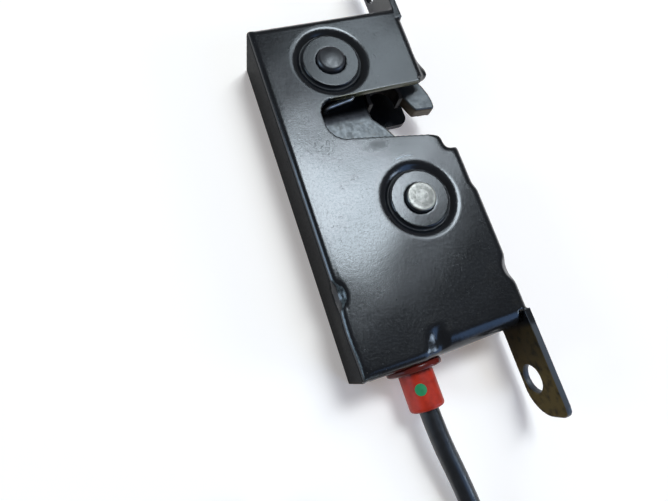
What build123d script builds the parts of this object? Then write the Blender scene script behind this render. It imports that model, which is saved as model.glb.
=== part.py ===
"""Tailgate lock with a rotary catch, a pawl and a release cable, lying on its back plate.

Millimetres. Origin: the pawl pivot's axis on the back face. +X points out of the striker slot's mouth,
+Y along the housing away from the cable, +Z from the back plate to the cover's front face.
The lock is shown open: the catch's hook stands in the mouth and its lower arm hangs across the slot.
"""
import os
from math import cos, pi, radians, sin, sqrt, tan

from build123d import *

# Housing
sheet = 1.8
depth = 17.7
left_x = -29.2
width = 46.4
upper_jaw_width = 44.2
bottom_y = -38.5
top_y = 57.0
front_bend_r = 2.4
wide_bend_r = 4.6
wide_bend_start = 20.8
jog_depth = 0.8
jog_length = 2.5
jog_y = -1.5
dent_r = 5.5
dent_depth = 1.1
left_dent_y = -17.6
right_dent_y = -23.6
corner_slit = 0.7
corner_slit_length = 2.9
corner_slit_inset = 1.1
tab_notch = 1.4
tab_notch_length = 4.2

# Striker slot
slot_end_x = -17.2
slot_top_y = 32.3
slot_bottom_inner_y = 20.1
slot_bottom_mouth_y = 15.9
slot_end_rise = 0.4
slot_corner_r = 4.0
slot_low_corner_r = 5.6
back_slot_top_y = 28.2
lower_lip_x = 13.6
lower_lip_drop = 1.2
lower_wall_top_y = 11.9
upper_lip_y = 33.8
lip_r = 2.4
hook_window_top_y = 47.0
hook_window_z = 13.0
flare = 1.9
flare_height = 7.0
flare_front_gap = 1.2

# Back plate
back_sheet = 2.0
plate_gap = 0.15
plate_jaw_gap = 0.4

# Fixing tabs
tab_length = 23.4
tab_z0 = 3.7
tab_hole_r = 3.55
tab_hole_inset = 9.9
tab_hole_drop = 1.8
tab_root = 4.0
tab_round_r = 7.6
tab_corner_r = 2.4

# Pivots
catch_x = -9.9
catch_y = 43.3
pin_r = 4.5
pin_end_r = 3.9
pin_proud = 1.5
dome_r = 1.3
pin_chamfer = 0.35
rivet_r = 5.0
disc_r = 7.8
ring_outer_r = 11.2
ring_depth = 1.15
bush_wall = 1.1
collar_r = 8.0
collar_edge_r = 0.5
running = 0.05
axial_gap = 0.3

# Levers
lever_t = 4.0
spring_room = 5.4
lever_edge_r = 0.7
lever_chamfer = 0.3
hook_hole_gap = 0.1
hook_floor = 0.6
notch_r = 5.4
notch_dx = 14.1
notch_dy = -10.1
liner_t = 1.1
liner_proud = 0.5
liner_end = 1.5
pawl_hub_r = 8.0
pawl_clear = 0.5
pawl_turn = 10.0
pawl_hook_lug_r = 2.2
pawl_tip_angle = 243.0
catch_rim_r = 28.2
catch_back_r = 11.3

# Torsion springs
spring_wire = 1.4
spring_pitch = 1.5
spring_turns = 1.35
spring_gap = 0.4
spring_tail = 5.0
spring_leg = 5.4
catch_hook_dx = -4.1
catch_hook_dy = -10.3
pawl_hook_x = 3.7
pawl_hook_y = -8.6

# Buffer
buffer_w = 6.2
buffer_h = 9.0
buffer_clear = 0.3
buffer_r = 1.6
buffer_gap = 0.2

# Release cable
cable_x = -13.9
sheath_d = 5.0
wire_d = 1.5
wire_stroke = 3.0
nipple_r = 2.4
nipple_l = 5.0
nipple_chamfer = 0.3
nipple_y = 0.5
nipple_gap = 0.35
wire_way_length = 12.0
fit_gap = 0.02
ferrule_r = 4.45
ferrule_l = 9.6
flange_r = 7.15
flange_t = 1.6
flange_edge_r = 0.6
ferrule_edge_r = 1.0
neck_r = 3.7
neck_gap = 0.1
neck_overlap = 0.4
inner_flange_r = 5.6
socket_l = 7.0
bore_gap = 0.3
mark_r = 1.45
mark_t = 0.12
mark_inset = 4.3
mark_turn = 20.0
far_ferrule_r = 3.9
far_ferrule_l = 10.0
far_groove_inset = 4.0
far_groove_w = 2.2
far_groove_depth = 0.9
far_wire_l = 5.0
far_nipple_r = 2.2
far_nipple_l = 4.0

# Cable coil: three turns, two beside each other and one on top
coil_x = -35.6
coil_y = -108.0
coil_r = 25.0
tie_w = 4.0
tie_t = 0.6
tie_gap = 0.2
tie_turn = 250.0

# Worked out from the sizes above
right_x = left_x + width
upper_right_x = left_x + upper_jaw_width
past_x = right_x + 5
inner_front = depth - sheet
notch_x = catch_x + notch_dx
notch_y = catch_y + notch_dy
catch_hook_x = catch_x + catch_hook_dx
catch_hook_y = catch_y + catch_hook_dy
lever_top = inner_front - spring_room
lever_z0 = lever_top - lever_t
cable_z = lever_z0 + lever_t / 2
bush_r = pin_r + running + bush_wall
bore_r = bush_r + running
spring_r = bush_r + spring_gap + spring_wire / 2
spring_z = lever_top + axial_gap + spring_wire / 2
wire_y0 = bottom_y - flange_t - ferrule_l + socket_l
cable_rest_z = sheath_d / 2


def plan(points):
    """Flat face through a closed list of plan points."""
    return make_face(Polyline(*points, close=True))


def rounded(face, radius):
    """The face with all its corners rounded."""
    return fillet(face.vertices(), radius)


def prism(face, z0, z1):
    """Straight solid on a plan face, from one height to another."""
    return extrude(Pos(0, 0, z0) * face, amount=z1 - z0)


def block(x0, x1, y0, y1, z0, z1):
    """Box between three pairs of planes."""
    return Pos((x0 + x1) / 2, (y0 + y1) / 2, (z0 + z1) / 2) * Box(x1 - x0, y1 - y0, z1 - z0)


def post(x, y, radius, z0, z1):
    """Upright cylinder."""
    return Pos(x, y, (z0 + z1) / 2) * Cylinder(radius, z1 - z0)


def along_y(x, z, radius, y0, y1):
    """Cylinder along Y."""
    return Pos(x, (y0 + y1) / 2, z) * Rot(90, 0, 0) * Cylinder(radius, y1 - y0)


def polar(x, y, angle, radius):
    """Plan point at an angle and distance from a pivot."""
    return (x + radius * cos(radians(angle)), y + radius * sin(radians(angle)))


def cover_plan(inset):
    """Outline of the cover's box, with the right wall's jog and its step at the slot."""
    left = left_x + inset
    right = right_x - inset
    low = bottom_y + inset
    high = top_y - inset
    slot_middle_y = (slot_top_y + slot_bottom_mouth_y) / 2
    return plan(
        [
            (left, high),
            (left, low),
            (right, low),
            (right, jog_y),
            (right - jog_depth, jog_y + jog_length),
            (right - jog_depth, slot_middle_y),
            (upper_right_x - inset, slot_middle_y),
            (upper_right_x - inset, high),
        ]
    )


def slot_plan(top, reach):
    """Striker slot: round closed end, straight top edge, lower edge falling towards the mouth."""
    body = plan(
        [
            (slot_end_x, top),
            (reach, top),
            (reach, lower_wall_top_y),
            (lower_lip_x, lower_wall_top_y + lower_lip_drop),
            (lower_lip_x - lower_lip_drop, slot_bottom_mouth_y),
            (slot_end_x + slot_low_corner_r + slot_end_rise, slot_bottom_inner_y),
            (slot_end_x, slot_bottom_inner_y + slot_end_rise),
        ]
    )
    end_height = top - slot_bottom_inner_y - slot_end_rise
    share = min(1, 0.95 * end_height / (slot_low_corner_r + slot_corner_r))
    low = body.vertices().sort_by_distance((slot_end_x, slot_bottom_inner_y))[0]
    body = fillet(low, share * slot_low_corner_r)
    high = body.vertices().sort_by_distance((slot_end_x, top))[0]
    body = fillet(high, share * slot_corner_r)
    lip = body.vertices().sort_by_distance((lower_lip_x - lower_lip_drop, slot_bottom_mouth_y))[0]
    return fillet(lip, lip_r)


def cover_shell():
    """Deep-drawn box, open at the back, with one wide and otherwise tight front bends."""
    outer = prism(cover_plan(0), 0, depth)
    front = outer.faces().sort_by(Axis.Z)[-1]
    outer = fillet(front.edges(), front_bend_r)
    inner = prism(cover_plan(sheet), -1, inner_front)
    front = inner.faces().sort_by(Axis.Z)[-1]
    inner = fillet(front.edges(), front_bend_r - sheet)
    return outer - inner


def wide_bend():
    """The bottom bend's larger radius, from its crease to the right wall: what goes and what comes."""
    x0 = left_x + wide_bend_start
    x1 = right_x - sheet - tab_notch
    y = bottom_y + wide_bend_r
    z = depth - wide_bend_r
    centre = Pos((x0 + x1) / 2, y, z) * Rot(0, 90, 0)
    corner = block(x0, x1, bottom_y - 1, y, z, depth + 1)
    round_out = centre * Cylinder(wide_bend_r, x1 - x0)
    round_in = centre * Cylinder(wide_bend_r - sheet, x1 - x0)
    return corner - round_out, (round_out - round_in) & corner


def ring_section(z):
    """Half section of the round groove under a flat face: a step at the disc, a soft outer shoulder."""
    width = ring_outer_r - disc_r
    shoulder_r = (width**2 + ring_depth**2) / (2 * ring_depth)
    middle = (disc_r + width / 2, z - shoulder_r + sqrt(shoulder_r**2 - width**2 / 4))
    shoulder = ThreePointArc((disc_r, z - ring_depth), middle, (ring_outer_r, z))
    top = z + sheet / 2
    rest = Polyline((ring_outer_r, z), (ring_outer_r, top), (disc_r, top), (disc_r, z - ring_depth))
    return make_face([shoulder, rest])


def pressed_ring(x, y):
    """Round groove pressed into the front face about a pivot: the metal that is added, and the groove."""
    groove = Pos(x, y, 0) * revolve(Plane.XZ * ring_section(depth), Axis.Z)
    behind = Pos(x, y, 0) * revolve(Plane.XZ * ring_section(inner_front), Axis.Z)
    low = inner_front - ring_depth
    step = post(x, y, disc_r, low, inner_front) - post(x, y, disc_r - sheet, low, inner_front)
    return behind + step, groove


def fold_dent(x, y, side):
    """Dent pressed across a side fold: the metal that it pushes in, and what it takes away."""
    fold = front_bend_r * (1 - cos(radians(45)))
    away = (dent_r - dent_depth) * cos(radians(45))
    centre = Pos(x + side * (away - fold), y, depth - fold + away) * Rot(0, -side * 45, 0)
    length = 6 * front_bend_r
    metal = centre * Cylinder(dent_r + sheet, length)
    inside = prism(cover_plan(sheet / 2), depth / 2, depth - sheet / 2)
    return metal & inside, centre * Cylinder(dent_r, length)


def tab_plan(end_y, side):
    """Fixing tab seen along X: one large and one small round at its free end, and its hole."""
    root_y = end_y - side * (tab_length + tab_root)
    middle_z = (tab_z0 + depth) / 2
    outline = Pos((root_y + end_y) / 2, middle_z) * Rectangle(abs(end_y - root_y), depth - tab_z0)
    corners = outline.vertices().sort_by(Axis.X)
    free = corners[2:4] if side > 0 else corners[0:2]
    low = free.sort_by(Axis.Y)[0]
    outline = fillet(low, tab_round_r)
    high = outline.vertices().sort_by_distance((end_y, depth))[0]
    outline = fillet(high, tab_corner_r)
    hole = Pos(end_y - side * tab_hole_inset, middle_z - tab_hole_drop) * Circle(tab_hole_r)
    return outline - hole


def tab(outer_x, end_y, side):
    """Fixing tab in the plane of the right wall."""
    face = tab_plan(end_y, side)
    upright = Plane(origin=(outer_x - sheet, 0, 0), x_dir=(0, 1, 0), z_dir=(1, 0, 0))
    return extrude(upright * face, amount=sheet)


def mouth_flare():
    """Lower end of the upper jaw's side wall, curled outwards to lead the striker in."""
    inside = upper_right_x - sheet
    outside = upper_right_x + flare
    lip = plan(
        [
            (inside, upper_lip_y + flare_height),
            (upper_right_x, upper_lip_y + flare_height - 1),
            (outside, upper_lip_y + flare_height - 4.4),
            (outside, upper_lip_y + 0.4),
            (outside - 1.4, upper_lip_y),
            (inside, upper_lip_y + flare_height / 2),
        ]
    )
    return prism(lip, hook_window_z, depth - flare_front_gap)


def neck_slot():
    """Slot in the bottom wall, open at the back, that the cable ferrule's neck is pushed into."""
    half = neck_r + neck_gap
    y0 = bottom_y - 1
    y1 = bottom_y + sheet + 1
    below = block(cable_x - half, cable_x + half, y0, y1, -1, cable_z)
    return below + along_y(cable_x, cable_z, half, y0, y1)


def make_housing_cover():
    """Pressed cover: front face, four walls, slot, pivot rings, fold dents, slits and fixing tabs."""
    body = cover_shell()
    gone, bend = wide_bend()
    body = body - gone + bend
    for x, y in ((0, 0), (catch_x, catch_y)):
        metal, groove = pressed_ring(x, y)
        body = body + metal - groove
        body = body - post(x, y, pin_end_r + running, 0, depth + 1)
    for x, y, side in ((left_x, left_dent_y, -1), (right_x, right_dent_y, 1)):
        metal, gone = fold_dent(x, y, side)
        body = body + metal - gone
    body = body - prism(slot_plan(slot_top_y, past_x), -1, depth + 1)
    body = body - block(lower_lip_x - 1, past_x, lower_wall_top_y, upper_lip_y, -1, depth + 1)
    body = body - block(upper_right_x - 2 * sheet, past_x, slot_top_y, hook_window_top_y, -1, hook_window_z)
    slit_x = left_x + corner_slit_inset
    slit_y = bottom_y + corner_slit_length
    body = body - block(slit_x, slit_x + corner_slit, bottom_y - 1, slit_y, -1, depth + 1)
    notch_right = right_x - sheet
    notch_end = bottom_y + tab_notch_length
    body = body - block(notch_right - tab_notch, notch_right, bottom_y - 1, notch_end, -1, depth + 1)
    body = body + mouth_flare()
    body = body + tab(right_x, bottom_y - tab_length, -1) + tab(upper_right_x, top_y + tab_length, 1)
    return body - neck_slot()


def make_back_plate():
    """Flat plate inside the walls, with the striker slot and the countersunk rivet holes."""
    face = offset(cover_plan(sheet), -plate_gap, kind=Kind.INTERSECTION)
    plate = prism(face, 0, back_sheet)
    jaw_x = upper_right_x - sheet - plate_jaw_gap
    plate = plate - prism(slot_plan(back_slot_top_y, past_x), -1, back_sheet + 1)
    plate = plate - block(jaw_x, past_x, lower_wall_top_y - 1, hook_window_top_y, -1, back_sheet + 1)
    jaw_corner = plate.edges().filter_by(Axis.Z).sort_by_distance((jaw_x, back_slot_top_y, 0))[0]
    plate = fillet(jaw_corner, lip_r)
    for x, y in ((0, 0), (catch_x, catch_y)):
        sink = Pos(x, y, back_sheet / 2) * Cone(rivet_r, pin_end_r, back_sheet)
        plate = plate - sink
    return plate


def make_pin(x, y, domed):
    """Shouldered rivet pin: countersunk foot, shank between the plates, and its head end."""
    foot = Pos(x, y, back_sheet / 2) * Cone(rivet_r - running, pin_end_r - running, back_sheet)
    shank = post(x, y, pin_r, back_sheet, inner_front)
    head = post(x, y, pin_end_r, inner_front, depth + pin_proud)
    rim = head.edges().filter_by(GeomType.CIRCLE).sort_by(Axis.Z)[-1]
    head = fillet(rim, dome_r) if domed else chamfer(rim, pin_chamfer)
    return foot + shank + head


def make_bush(x, y):
    """Bearing sleeve on a pin, with a collar that carries the lever."""
    sleeve = post(x, y, bush_r, back_sheet + running, inner_front - axial_gap)
    collar = post(x, y, collar_r, back_sheet + running, lever_z0 - running)
    collar = fillet(collar.edges().filter_by(GeomType.CIRCLE), collar_edge_r)
    return sleeve + collar - post(x, y, pin_r + running, 0, depth)


def catch_plan():
    """Rotary catch, open, about its pivot: hook at the mouth, arm across the slot, round back."""
    hook = [
        (26.8, -8.7),
        (27.8, -11.7),
        (28.1, -14.1),
        (27.9, -16.4),
        (21.9, -15.9),
        (19.6, -11.1),
    ]
    arm = [
        (8.3, -9.7),
        (8.5, -15.3),
        (11.5, -19.1),
        (13.9, -23.1),
        (12.5, -25.9),
        (7.9, -27.5),
        (6.9, -23.7),
        (3.5, -23.9),
        (2.4, -27.7),
    ]
    back = [
        (-1.1, -24.9),
        (-3.9, -20.9),
        (-6.7, -17.5),
        (-9.0, -14.7),
        (-10.9, -8.3),
        (0, 0),
        polar(0, 0, 62, catch_back_r),
        (16.9, 3.7),
        (22.9, -1.3),
    ]
    outline = plan(hook + arm + back) + Circle(catch_back_r)
    corners = [v for v in outline.vertices() if v.Y < hook[0][1] + 1]
    return Pos(catch_x, catch_y) * fillet(corners, lever_edge_r)


def make_catch():
    """Steel catch plate with its bore and the lined notch."""
    plate = prism(catch_plan(), lever_z0, lever_top)
    plate = plate - post(notch_x, notch_y, notch_r, 0, depth)
    plate = plate - post(catch_x, catch_y, bore_r, 0, depth)
    plate = plate - post(catch_hook_x, catch_hook_y, spring_wire / 2 + hook_hole_gap, 0, depth)
    top_edges = plate.faces().sort_by(Axis.Z)[-1].outer_wire().edges()
    return chamfer(top_edges, lever_chamfer)


def make_catch_liner():
    """Plastic lining of the catch's notch, standing a little proud of both faces."""
    outer = Pos(notch_x, notch_y) * Circle(notch_r - fit_gap)
    inner = Pos(notch_x, notch_y) * Circle(notch_r - liner_t)
    ring = prism(outer - inner, lever_z0 - liner_proud, lever_top + liner_proud)
    reach = 2 * notch_r
    return ring - block(notch_x - reach, notch_x + reach, notch_y - reach, notch_y - liner_end, 0, depth)


def make_spring(x, y, leg_points):
    """Torsion spring round a bush: a coil, a leg through the given points, and a short tail."""
    height = spring_turns * spring_pitch
    path = Pos(x, y, spring_z) * Helix(spring_pitch, height, spring_r)
    wire = Circle(spring_wire / 2)
    start = path @ 0
    coil = sweep(Plane(origin=start, z_dir=path % 0) * wire, path=path, is_frenet=True)
    leg_path = FilletPolyline(start, *leg_points, radius=spring_wire)
    leg = sweep(Plane(origin=start, z_dir=leg_path % 0) * wire, path=leg_path)
    tail = extrude(Plane(origin=path @ 1, z_dir=path % 1) * wire, amount=spring_tail)
    return coil + leg + tail


def make_catch_spring():
    """Opens the catch; its front leg shows in the slot and hooks into the catch."""
    points = [
        (catch_x + spring_r, catch_y - spring_leg, spring_z),
        (catch_x + spring_r - 2.6, catch_hook_y + 1.4, spring_z),
        (catch_hook_x, catch_hook_y, spring_z),
        (catch_hook_x, catch_hook_y, lever_z0 + hook_floor),
    ]
    return make_spring(catch_x, catch_y, points)


def make_pawl_spring():
    """Holds the pawl up against the catch."""
    points = [
        (spring_r, -spring_leg, spring_z),
        (pawl_hook_x, pawl_hook_y, spring_z),
        (pawl_hook_x, pawl_hook_y, lever_z0 + hook_floor),
    ]
    return make_spring(0, 0, points)


def pawl_plan():
    """Pawl: arm to its tip outside the catch's rim, heel under it, and the lug for the cable nipple."""
    rim = catch_rim_r + pawl_clear
    tip_x, tip_y = polar(catch_x, catch_y, pawl_tip_angle, rim)
    return plan(
        [
            (tip_x, tip_y),
            polar(catch_x, catch_y, pawl_tip_angle + 12, rim + 0.6),
            polar(catch_x, catch_y, pawl_tip_angle + 25, rim + 0.8),
            (-2.0, 9.0),
            (5.0, 4.0),
            (2.0, -6.4),
            (cable_x + 6.0, -5.4),
            (cable_x - 4.4, -4.6),
            (cable_x - 5.6, 3.0),
            (tip_x + 1.4, 9.0),
            (tip_x - 0.6, tip_y - 3.2),
        ]
    )


def wire_way():
    """Slot in the pawl's lug for the wire, widened downwards so that it stays clear as the pawl turns."""
    side = wire_d / 2 + nipple_gap
    spread = wire_way_length * tan(radians(pawl_turn + 2))
    way = plan(
        [
            (cable_x - side, nipple_y),
            (cable_x + side, nipple_y),
            (cable_x + side, nipple_y - wire_way_length),
            (cable_x - side - spread, nipple_y - wire_way_length),
        ]
    )
    return prism(way, 0, depth)


def make_pawl():
    """Pawl plate with its hub, its bore, the nipple's seat and the spring's lug."""
    pawl = prism(rounded(pawl_plan(), lever_edge_r), lever_z0, lever_top)
    pawl = pawl + post(0, 0, pawl_hub_r, lever_z0, lever_top)
    pawl = pawl + post(pawl_hook_x, pawl_hook_y, pawl_hook_lug_r, lever_z0, lever_top)
    pawl = pawl - post(catch_x, catch_y, catch_rim_r + pawl_clear, 0, depth)
    pawl = pawl - post(0, 0, bore_r, 0, depth)
    pawl = pawl - post(cable_x, nipple_y, nipple_r + nipple_gap, 0, depth) - wire_way()
    return pawl - post(pawl_hook_x, pawl_hook_y, spring_wire / 2 + hook_hole_gap, 0, depth)


def make_striker_buffer():
    """Rubber block behind the slot's closed end, on the back plate."""
    x1 = slot_end_x - buffer_gap
    y = (slot_top_y + slot_bottom_inner_y) / 2
    top = lever_z0 - buffer_clear
    pad = block(x1 - buffer_w, x1, y - buffer_h / 2, y + buffer_h / 2, back_sheet, top)
    return fillet(pad.edges().filter_by(Axis.Z), buffer_r)


def make_cable_ferrule():
    """Moulded end piece: flange outside the bottom wall, neck through it, and a socket for the cable."""
    inside = bottom_y + sheet
    flange_y = bottom_y - flange_t
    tip = flange_y - ferrule_l
    flange = along_y(cable_x, cable_z, flange_r, flange_y, bottom_y)
    flange = fillet(flange.edges().filter_by(GeomType.CIRCLE), flange_edge_r)
    barrel = along_y(cable_x, cable_z, ferrule_r, tip, flange_y + flange_t / 2)
    barrel = fillet(barrel.edges().filter_by(GeomType.CIRCLE).sort_by(Axis.Y)[0], ferrule_edge_r)
    neck = along_y(cable_x, cable_z, neck_r, bottom_y - neck_overlap, inside + neck_overlap)
    inner = along_y(cable_x, cable_z, inner_flange_r, inside, inside + flange_t)
    inner = fillet(inner.edges().filter_by(GeomType.CIRCLE), flange_edge_r / 2)
    socket = along_y(cable_x, cable_z, sheath_d / 2 + fit_gap, tip - 1, tip + socket_l)
    bore = along_y(cable_x, cable_z, wire_d / 2 + bore_gap, tip, inside + flange_t + 1)
    return flange + barrel + neck + inner - socket - bore


def make_ferrule_mark():
    """Round dab of paint on the ferrule's front."""
    y = bottom_y - flange_t - mark_inset
    front = Pos(cable_x, y, cable_z) * Rot(0, -mark_turn, 0) * Pos(0, 0, ferrule_r)
    spot = front * Cylinder(mark_r, ferrule_r)
    skin = along_y(cable_x, cable_z, ferrule_r + mark_t, y - mark_r, y + mark_r)
    return (spot & skin) - along_y(cable_x, cable_z, ferrule_r, y - 2 * mark_r, y + 2 * mark_r)


def make_inner_wire():
    """Steel wire from the nipple down into the ferrule."""
    return along_y(cable_x, cable_z, wire_d / 2, wire_y0 + wire_stroke, nipple_y)


def make_wire_nipple():
    """Barrel cast on the wire's end, seated in the pawl's lug."""
    barrel = post(cable_x, nipple_y, nipple_r, cable_z - nipple_l / 2, cable_z + nipple_l / 2)
    barrel = chamfer(barrel.edges().filter_by(GeomType.CIRCLE), nipple_chamfer)
    return barrel - along_y(cable_x, cable_z, wire_d / 2 + fit_gap, wire_y0, nipple_y + fit_gap)


# Route of the outer cable's middle, from the ferrule's socket to the coil
lead_route = [
    (cable_x, wire_y0, cable_z),
    (cable_x, -55.4, cable_z),
    (cable_x + 2.3, -68.5, 6.6),
    (cable_x + 4.0, -82.0, 4.1),
    (cable_x + 4.9, -95.0, cable_rest_z),
    (coil_x + coil_r + sheath_d / 2, coil_y, cable_rest_z),
]

# Route of its other end, from the coil to the far ferrule
tail_route = [
    (coil_x - coil_r, coil_y, 6.9),
    (coil_x - coil_r + 0.1, coil_y + 11.0, 7.3),
    (coil_x - coil_r + 0.5, coil_y + 21.5, far_ferrule_r + running),
    (coil_x - coil_r + 1.1, coil_y + 31.0, far_ferrule_r + running),
]


def corner_radii(route):
    """Radius of each arc: as large as its two runs allow."""
    radii = []
    for a, b, c in zip(route, route[1:], route[2:]):
        first = Vector(*b) - Vector(*a)
        second = Vector(*c) - Vector(*b)
        turn = radians(first.get_angle(second))
        radii.append(0.45 * min(first.length, second.length) / tan(turn / 2))
    return radii


def tube(route):
    """Round cable along straight runs joined by tangent arcs."""
    radii = corner_radii(route)
    print("arc radii", [round(r, 1) for r in radii])
    path = FilletPolyline(*route, radius=radii)
    ring = Plane(origin=route[0], z_dir=path % 0) * Circle(sheath_d / 2)
    solid = sweep(ring, path=path)
    section = pi * sheath_d**2 / 4
    print("tube volume", round(solid.volume, 1), "section x length", round(section * path.length, 1))
    return solid


def coil_section(grow):
    """Outer shape of the three turns where they are cut across."""
    r = sheath_d / 2
    rise = r * 3**0.5
    middle = plan([(coil_r - r, r), (coil_r + r, r), (coil_r, r + rise)])
    return offset(middle, r + grow, kind=Kind.ARC)


def make_cable_coil():
    """Closed solid of the put-away coil's outer shape, pressed in where the tie passes under it."""
    ring = revolve(Plane.XZ * coil_section(0), Axis.Z)
    under = tie_w / 2 + tie_gap
    pressed = block(0, 2 * coil_r, -under, under, -1, tie_t + tie_gap)
    ring = ring - Rot(0, 0, tie_turn) * pressed
    return Pos(coil_x, coil_y, 0) * ring


def make_coil_tie():
    """Band that holds the coil's turns together."""
    above = Pos(coil_r, coil_r) * Rectangle(2 * coil_r, 2 * coil_r)
    hoop = (coil_section(tie_t + tie_gap) - coil_section(tie_gap)) & above
    under = Pos(coil_r, tie_t / 2) * Rectangle(2 * sheath_d, tie_t)
    band = extrude(Plane.XZ * (hoop + under), amount=tie_w / 2, both=True)
    return Pos(coil_x, coil_y, 0) * Rot(0, 0, tie_turn) * band


def far_frame():
    """Axis system at the far cable end, pointing along the cable."""
    end = Vector(*tail_route[-1])
    way = (end - Vector(*tail_route[-2])).normalized()
    return Plane(origin=end, z_dir=way)


def make_far_ferrule():
    """End piece of the far cable end: stepped sleeve with a groove for its bracket."""
    at = far_frame()
    body = extrude(at.offset(-socket_l) * Circle(far_ferrule_r), amount=far_ferrule_l + socket_l)
    ring = Circle(far_ferrule_r + 1) - Circle(far_ferrule_r - far_groove_depth)
    groove = extrude(at.offset(far_groove_inset) * ring, amount=far_groove_w)
    socket = extrude(at.offset(-socket_l - 1) * Circle(sheath_d / 2 + fit_gap), amount=socket_l + 1)
    bore = extrude(at * Circle(wire_d / 2 + bore_gap), amount=far_ferrule_l + 1)
    return body - groove - socket - bore


def make_far_wire():
    """Wire standing out of the far end piece."""
    length = far_ferrule_l + far_wire_l - axial_gap
    return extrude(far_frame().offset(axial_gap) * Circle(wire_d / 2), amount=length)


def make_far_nipple():
    """Barrel cast on the far wire's end, along the wire."""
    at = far_frame().offset(far_ferrule_l + far_wire_l)
    barrel = extrude(at * Circle(far_nipple_r), amount=far_nipple_l)
    return chamfer(barrel.edges().filter_by(GeomType.CIRCLE), nipple_chamfer)


def make_nodes():
    """All pieces by name."""
    return {
        "housing_cover": make_housing_cover(),
        "back_plate": make_back_plate(),
        "catch": make_catch(),
        "catch_liner": make_catch_liner(),
        "catch_pin": make_pin(catch_x, catch_y, True),
        "catch_bush": make_bush(catch_x, catch_y),
        "catch_spring": make_catch_spring(),
        "pawl": make_pawl(),
        "pawl_pin": make_pin(0, 0, False),
        "pawl_bush": make_bush(0, 0),
        "pawl_spring": make_pawl_spring(),
        "striker_buffer": make_striker_buffer(),
        "cable_ferrule": make_cable_ferrule(),
        "ferrule_mark": make_ferrule_mark(),
        "inner_wire": make_inner_wire(),
        "wire_nipple": make_wire_nipple(),
        "cable_sheath": tube(lead_route),
        "cable_tail": tube(tail_route),
        "cable_coil": make_cable_coil(),
        "coil_tie": make_coil_tie(),
        "far_ferrule": make_far_ferrule(),
        "far_wire": make_far_wire(),
        "far_nipple": make_far_nipple(),
    }


os.makedirs("parts", exist_ok=True)
for name, shape in make_nodes().items():
    export_step(shape, f"parts/{name}.step")
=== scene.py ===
"""Tailgate lock with a rotary catch, lying on a pale floor, at the photograph's viewing angle. Metres."""
from math import cos, pi, radians, sin

import bpy
import numpy as np
from mathutils import Matrix, Vector


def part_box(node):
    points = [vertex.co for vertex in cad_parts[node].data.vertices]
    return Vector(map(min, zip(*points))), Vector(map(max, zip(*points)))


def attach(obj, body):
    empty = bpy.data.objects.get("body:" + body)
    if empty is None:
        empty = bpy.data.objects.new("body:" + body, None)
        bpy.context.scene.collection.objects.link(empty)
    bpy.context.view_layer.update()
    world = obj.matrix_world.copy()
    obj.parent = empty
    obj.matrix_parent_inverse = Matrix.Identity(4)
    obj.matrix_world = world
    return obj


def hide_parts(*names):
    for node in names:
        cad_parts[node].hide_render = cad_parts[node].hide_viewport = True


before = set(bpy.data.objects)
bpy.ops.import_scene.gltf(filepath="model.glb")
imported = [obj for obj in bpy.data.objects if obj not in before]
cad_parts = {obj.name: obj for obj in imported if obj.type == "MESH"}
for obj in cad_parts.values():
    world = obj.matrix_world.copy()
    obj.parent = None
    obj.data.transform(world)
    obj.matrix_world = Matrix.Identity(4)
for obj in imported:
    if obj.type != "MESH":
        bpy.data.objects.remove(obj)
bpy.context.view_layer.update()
mm = 0.001

# Camera fitted to the photograph
lens = 25.87
sensor = 36.0
camera_place = (-0.05377, -0.02988, 0.12644)
camera_right = (0.93348, -0.31427, 0.17276)
camera_up = (0.26391, 0.92816, 0.26242)
camera_back = (-0.24281, -0.19937, 0.94936)

# Release cable, as in the part's source
cable_x = -13.9 * mm
cable_z = 8.5 * mm
cable_d = 5.0 * mm
cable_rest_z = cable_d / 2
cable_start_y = -42.7 * mm
coil_x = -35.6 * mm
coil_y = -108.0 * mm
coil_r = 25.0 * mm
coil_rise = cable_d * 3**0.5 / 2
turn_points = 18
far_way = (0.06303, 0.99801, 0.0)

# Light and floor
room_light = 0.15
far_light = 1.2
floor_lift = 0.20
floor_reach = 3.0
floor_gap = 0.00002
lamp_distance = 1.6
lamp_target = (-0.01, 0.005, 0.01)
horizon = (0.14, 0.04)

# Meshes
cover_voxel = 0.3 * mm
cover_faces = 190000
lever_voxel = 0.25 * mm

# Cover, in millimetres
front_z = 17.7
left_x = -29.2
right_x = 17.2
bottom_y = -38.5
top_y = 57.0
bend_r = 2.4
left_bend_r = 1.7
tab_inner_x = 15.8
tab_hole_y = -52.0
tab_hole_z = 8.9
tab_hole_r = 3.55
catch_x = -9.9
catch_y = 43.3
pivots = ((0.0, 0.0), (catch_x, catch_y))

# Pressed ring round each pivot: its disc, its hollow floor, and its outer side's slope by radius
opening_r = 4.6
disc_r = 7.8
disc_edge = 0.12
disc_foot = 0.27
disc_lean = 0.32
hollow_r = 9.0
hollow_spread = 0.77
hollow_depth = 0.95
ring_depth = 1.6
ring_reach = 11.6
ring_slopes = (
    (8.05, 0.25),
    (8.5, 0.58),
    (8.9, 0.70),
    (9.3, 0.58),
    (9.8, 0.38),
    (10.3, 0.20),
    (10.8, 0.06),
    (11.3, 0.0),
)

# Softness of the pressing: places, half widths and depths of its creases, dents, bulge and dimple
front_zone = (11.0, 15.0)
crease_x = -8.4
crease_half = 6.0
crease_zone = (29.5, 32.5)
fold_left = -28.5
fold_right = 16.5
left_dent_y = -17.6
right_dent_y = -23.6
dent_half_x = 4.0
dent_half_y = 6.5
dent_softness = 0.45
lip_x = 12.8
lip_y = 13.2
bulge_y = -27.0
bulge_depth = 0.35
dimple_x = -9.0
dimple_y = -35.4
dimple_half_x = 3.6
dimple_half_y = 5.0
dimple_depth = 0.9
slant_depth = 0.6
wave_depth = 0.03
ripple_depth = 0.012
front_inset = 0.08

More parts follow.
